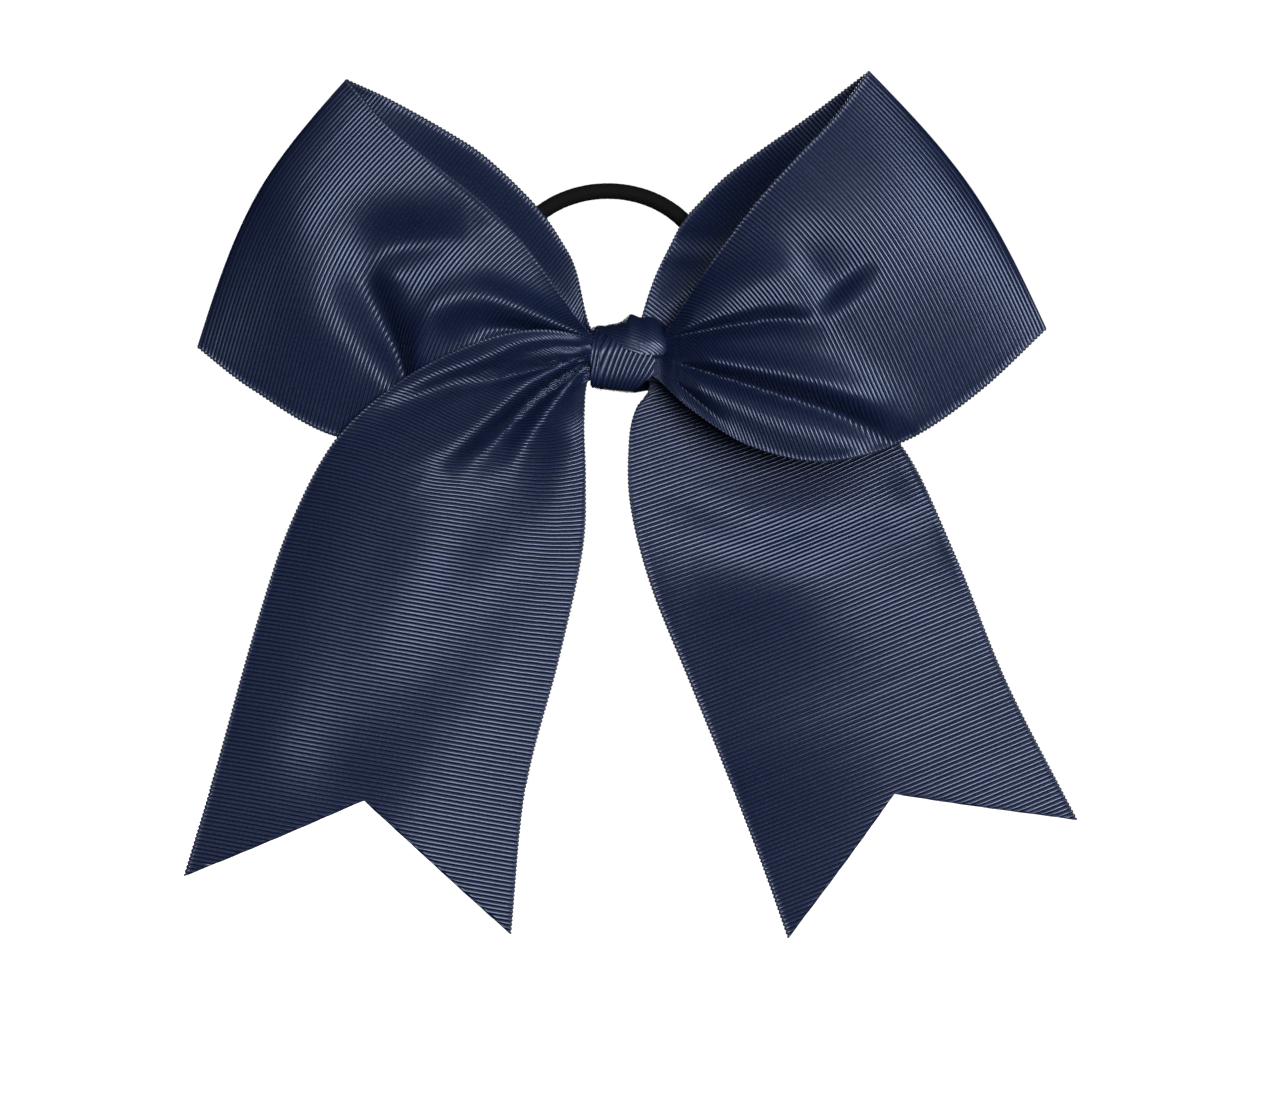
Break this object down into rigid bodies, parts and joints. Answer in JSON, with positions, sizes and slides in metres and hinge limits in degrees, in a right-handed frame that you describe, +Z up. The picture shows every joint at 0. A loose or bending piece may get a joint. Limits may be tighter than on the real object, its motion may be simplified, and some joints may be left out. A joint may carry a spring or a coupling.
{
  "type": "cheer hair bow",
  "caption": "Large hair bow of wide ribbed grosgrain ribbon with two loops and two V-cut tails, gathered under a knotted centre on a round stretch hair elastic.",
  "frame": {"origin": "the point on the elastic's axis, inside the knot ribbon's wrap behind the gather, from which the elastic carries the bow", "axes": "+Z up as worn, -Y out of the front of the bow, +X to the right when the front is looked at, along the width of the bow"},
  "size_m": [0.2032, 0.0362, 0.1971],
  "materials": {
    "navy_grosgrain": "ribbed polyester grosgrain, satin sheen on the ribs",
    "navy_knot_ribbon": "narrower ribbed grosgrain, satin sheen on the ribs",
    "navy_thread": "twisted polyester thread",
    "black_knit": "matte knitted tube",
    "elastic_rubber": "matte",
    "clear_glue": "translucent hot-melt glue"
  },
  "bodies": {
    "bow": {"gathered_centre": "navy_grosgrain", "binding_thread": "navy_thread", "left_loop_front": "navy_grosgrain", "left_loop_back": "navy_grosgrain", "right_loop_front": "navy_grosgrain", "right_loop_back": "navy_grosgrain", "knot_upper_band": "navy_knot_ribbon", "knot_lower_band": "navy_knot_ribbon", "knot_back_band": "navy_knot_ribbon", "knot_end_lap": "navy_knot_ribbon", "glue_dab": "clear_glue"},
    "left_tail": {"left_tail": "navy_grosgrain"},
    "right_tail": {"right_tail": "navy_grosgrain"},
    "elastic_base": {"elastic_join": "black_knit", "elastic_cover_left": "black_knit", "elastic_cover_right": "black_knit", "elastic_core_left": "elastic_rubber", "elastic_core_right": "elastic_rubber"},
    "elastic_top": {"elastic_cover_top": "black_knit", "elastic_core_top": "elastic_rubber"}
  },
  "joints": [
    {"name": "left_tail_lift", "type": "hinge", "parent": "bow", "child": "left_tail", "pos_m": [-0.0089, -0.0115, 0.0065], "axis": [-1, 0, 0], "range_deg": [0, 45], "stiffness_Nm_per_rad": 0.004},
    {"name": "right_tail_lift", "type": "hinge", "parent": "bow", "child": "right_tail", "pos_m": [0.0089, -0.0032, 0.0045], "axis": [1, 0, 0], "range_deg": [0, 45], "stiffness_Nm_per_rad": 0.004},
    {"name": "elastic_swing", "type": "hinge", "parent": "bow", "child": "elastic_base", "pos_m": [0, 0, 0], "axis": [-1, 0, 0], "range_deg": [0, 70]},
    {"name": "elastic_stretch", "type": "slide", "parent": "elastic_base", "child": "elastic_top", "axis": [0, 0.342, 0.9397], "range_m": [0, 0.045], "stiffness_N_per_m": 90, "deforming": ["elastic_cover_left", "elastic_cover_right", "elastic_core_left", "elastic_core_right"]}
  ]
}
